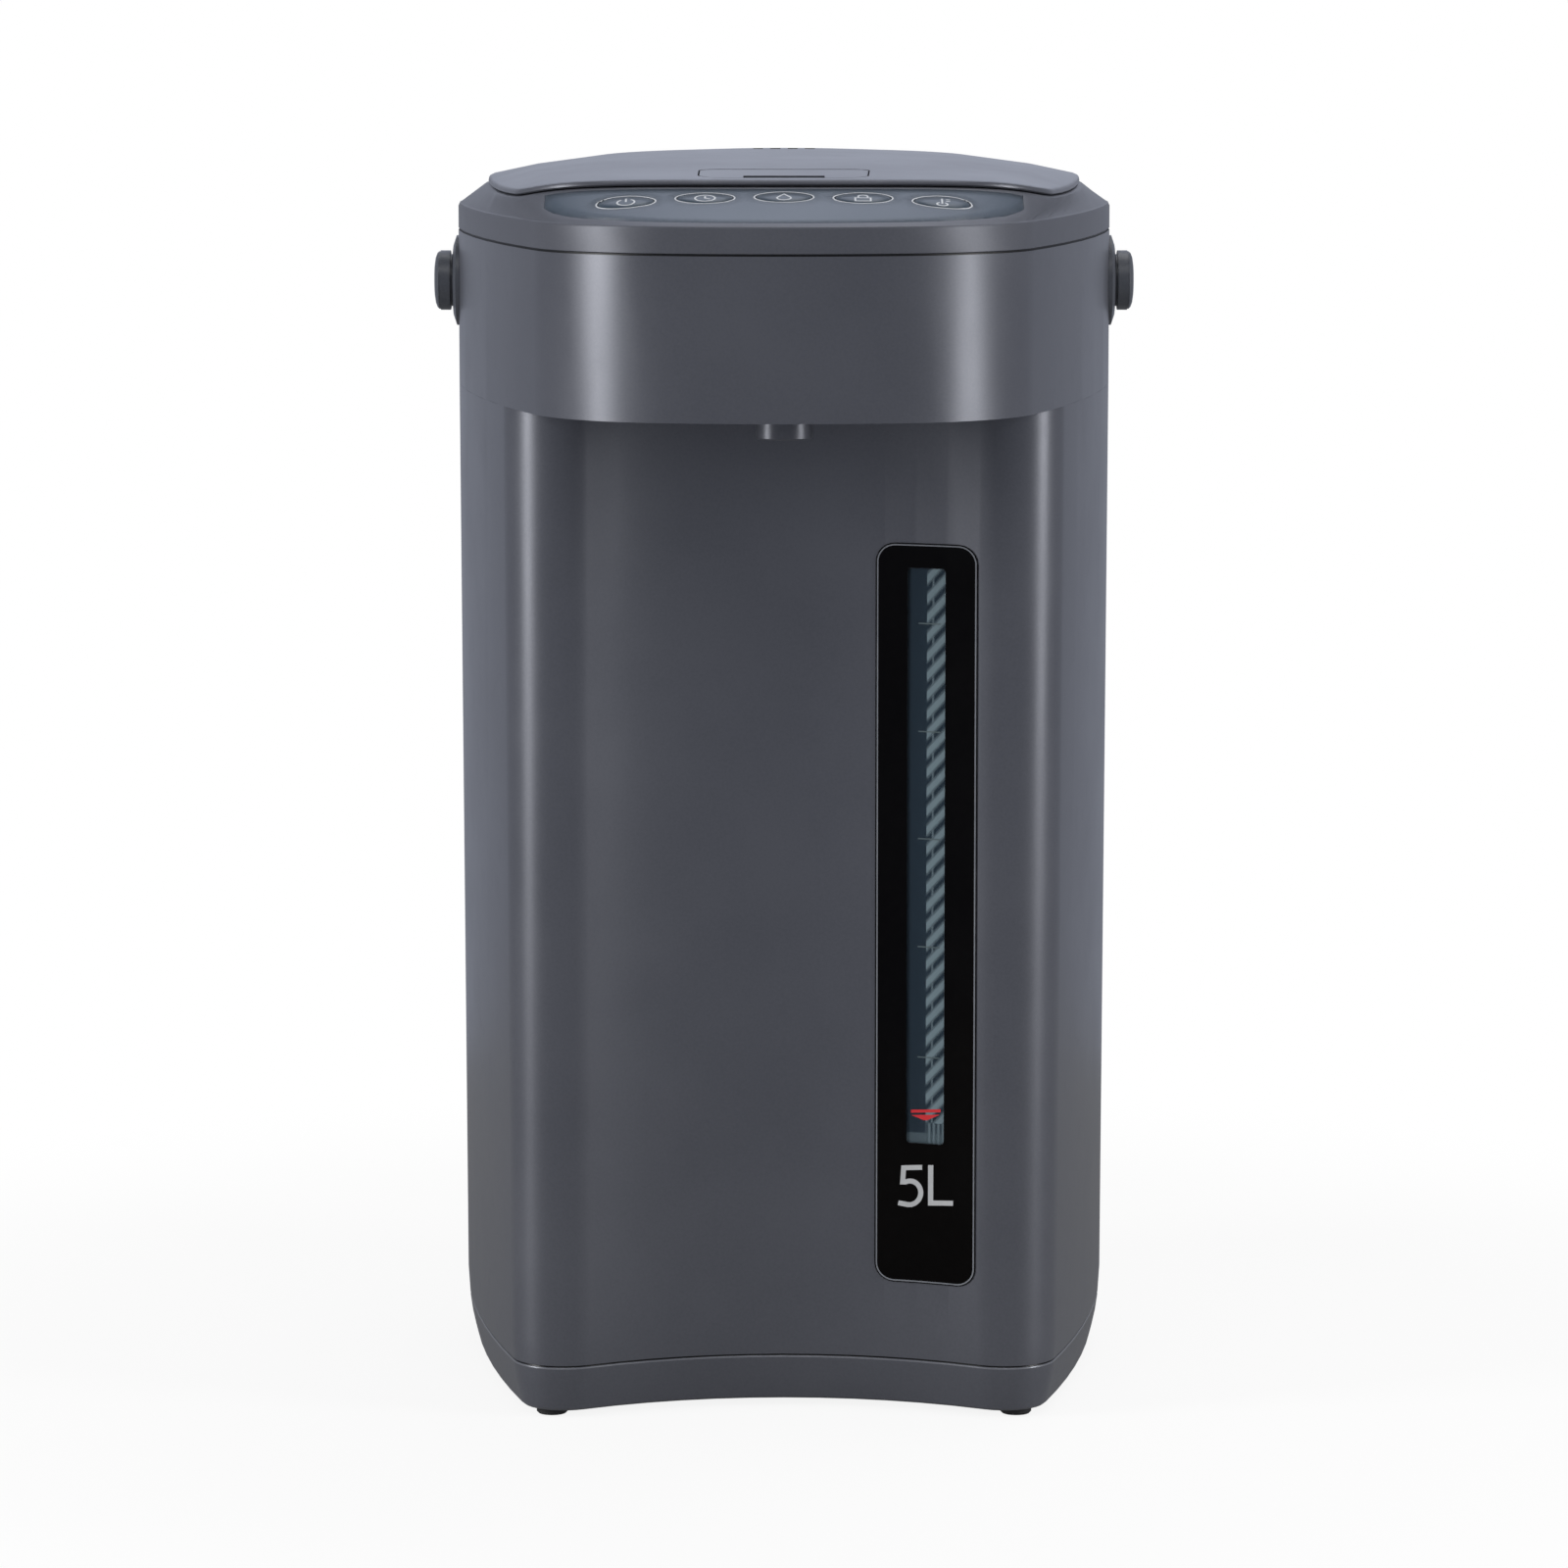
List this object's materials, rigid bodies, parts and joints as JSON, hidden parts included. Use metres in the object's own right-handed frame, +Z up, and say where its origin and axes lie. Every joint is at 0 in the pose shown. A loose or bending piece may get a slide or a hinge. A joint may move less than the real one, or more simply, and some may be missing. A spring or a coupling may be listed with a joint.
{
  "type": "electric thermo pot",
  "caption": "Electric thermo pot with a hollow-fronted body, a hinged lid with a lever latch, a control deck, a nozzle in the head, a level gauge and a bail handle.",
  "frame": {"origin": "on the floor, under the middle of the bounding box of the closed pot with the handle folded back", "axes": "+Z up; the front with the nozzle faces -Y, the hinge and the power inlet are at +Y; X across"},
  "size_m": [0.2256, 0.308, 0.3899],
  "materials": {
    "shell_plastic": "satin, fine texture",
    "ring_plastic": "satin",
    "lid_plastic": "satin",
    "dark_plastic": "satin",
    "black_plastic": "matte",
    "panel_film": "gloss",
    "key_plastic": "gloss",
    "window_acrylic": "gloss",
    "clear_acrylic": "gloss",
    "level_glass": "clear",
    "strip_plastic": "matte",
    "white_plastic": "satin",
    "grey_plastic": "satin",
    "stainless": "brushed",
    "zinc_steel": "zinc plated",
    "bright_steel": "polished",
    "heater_aluminium": "cast",
    "silicone": "soft",
    "black_rubber": "soft",
    "ceramic_fuse": "matte",
    "wool": "felted",
    "board": "solder mask"
  },
  "bodies": {
    "body": {"outer_shell": "shell_plastic", "base_cover": "dark_plastic", "rubber_feet": "black_rubber", "base_screws": "zinc_steel", "inner_pot": "stainless", "pot_seal": "silicone", "tie_rods": "zinc_steel", "insulation_wrap": "wool", "heater_plate": "heater_aluminium", "heat_shield": "heater_aluminium", "thermostat": "black_plastic", "thermal_fuse": "ceramic_fuse", "pump_inlet_sleeve": "silicone", "pump_casing": "dark_plastic", "pump_motor": "zinc_steel", "motor_bracket": "dark_plastic", "pump_outlet_elbow": "silicone", "sight_tube": "level_glass", "tube_seals": "black_rubber", "gauge_window": "window_acrylic", "gauge_lens": "clear_acrylic", "scale_strip": "strip_plastic", "head_hose": "silicone", "valve_body": "white_plastic", "spout_pipe": "white_plastic", "nozzle": "shell_plastic", "power_board": "board", "control_board": "board", "key_switches": "black_plastic", "inlet_housing": "black_plastic", "inlet_pins": "bright_steel", "top_ring": "ring_plastic", "control_panel": "panel_film", "latch_keeper": "zinc_steel", "hinge_pin": "bright_steel", "handle_escutcheons": "dark_plastic", "handle_pivots": "bright_steel"},
    "lid": {"lid_cover": "lid_plastic", "lid_base": "grey_plastic", "lid_inner_plate": "stainless", "lid_seal": "silicone", "steam_trap": "white_plastic", "lid_screws": "zinc_steel", "lever_pin": "bright_steel"},
    "lever": {"lid_lever": "lid_plastic"},
    "latch": {"lid_latch": "dark_plastic"},
    "handle": {"carry_handle": "dark_plastic", "pivot_caps": "dark_plastic"},
    "rotor": {"motor_rotor": "bright_steel"},
    "impeller": {"pump_impeller": "white_plastic"},
    "ball": {"valve_ball": "bright_steel"},
    "key_far_left": {"key_far_left": "key_plastic"},
    "key_left": {"key_left": "key_plastic"},
    "key_middle": {"key_middle": "key_plastic"},
    "key_right": {"key_right": "key_plastic"},
    "key_far_right": {"key_far_right": "key_plastic"}
  },
  "joints": [
    {"name": "lid_hinge", "type": "hinge", "parent": "body", "child": "lid", "pos_m": [0, 0.129, 0.3712], "axis": [-1, 0, 0], "range_deg": [0, 92]},
    {"name": "lever_hinge", "type": "hinge", "parent": "lid", "child": "lever", "pos_m": [0, -0.076, 0.3826], "axis": [-1, 0, 0], "range_deg": [0, 16], "stiffness_Nm_per_rad": 0.08, "springref_deg": -11.46},
    {"name": "latch_slide", "type": "slide", "parent": "lid", "child": "latch", "axis": [0, 1, 0], "range_m": [0, 0.003]},
    {"name": "handle_swing", "type": "hinge", "parent": "body", "child": "handle", "pos_m": [0, 0.032, 0.348], "axis": [1, 0, 0], "range_deg": [0, 90]},
    {"name": "rotor_spin", "type": "hinge", "parent": "body", "child": "rotor", "pos_m": [0.03, -0.034, 0.024], "axis": [0, 0, 1], "continuous": true},
    {"name": "impeller_spin", "type": "hinge", "parent": "body", "child": "impeller", "pos_m": [0.03, -0.034, 0.042], "axis": [0, 0, 1], "continuous": true},
    {"name": "ball_slide", "type": "slide", "parent": "body", "child": "ball", "axis": [0, 0, 1], "range_m": [0, 0.0044]},
    {"name": "key_far_left_press", "type": "slide", "parent": "body", "child": "key_far_left", "axis": [0, 0.2079, -0.9781], "range_m": [0, 0.0006], "stiffness_N_per_m": 400, "springref_m": -0.0005},
    {"name": "key_left_press", "type": "slide", "parent": "body", "child": "key_left", "axis": [0, 0.2079, -0.9781], "range_m": [0, 0.0006], "stiffness_N_per_m": 400, "springref_m": -0.0005},
    {"name": "key_middle_press", "type": "slide", "parent": "body", "child": "key_middle", "axis": [0, 0.2079, -0.9781], "range_m": [0, 0.0006], "stiffness_N_per_m": 400, "springref_m": -0.0005},
    {"name": "key_right_press", "type": "slide", "parent": "body", "child": "key_right", "axis": [0, 0.2079, -0.9781], "range_m": [0, 0.0006], "stiffness_N_per_m": 400, "springref_m": -0.0005},
    {"name": "key_far_right_press", "type": "slide", "parent": "body", "child": "key_far_right", "axis": [0, 0.2079, -0.9781], "range_m": [0, 0.0006], "stiffness_N_per_m": 400, "springref_m": -0.0005}
  ],
  "couplings": [
    {"joint": "latch_slide", "follows": "lever_hinge", "m_per_rad": 0.010742},
    {"joint": "impeller_spin", "follows": "rotor_spin", "ratio": 1}
  ]
}
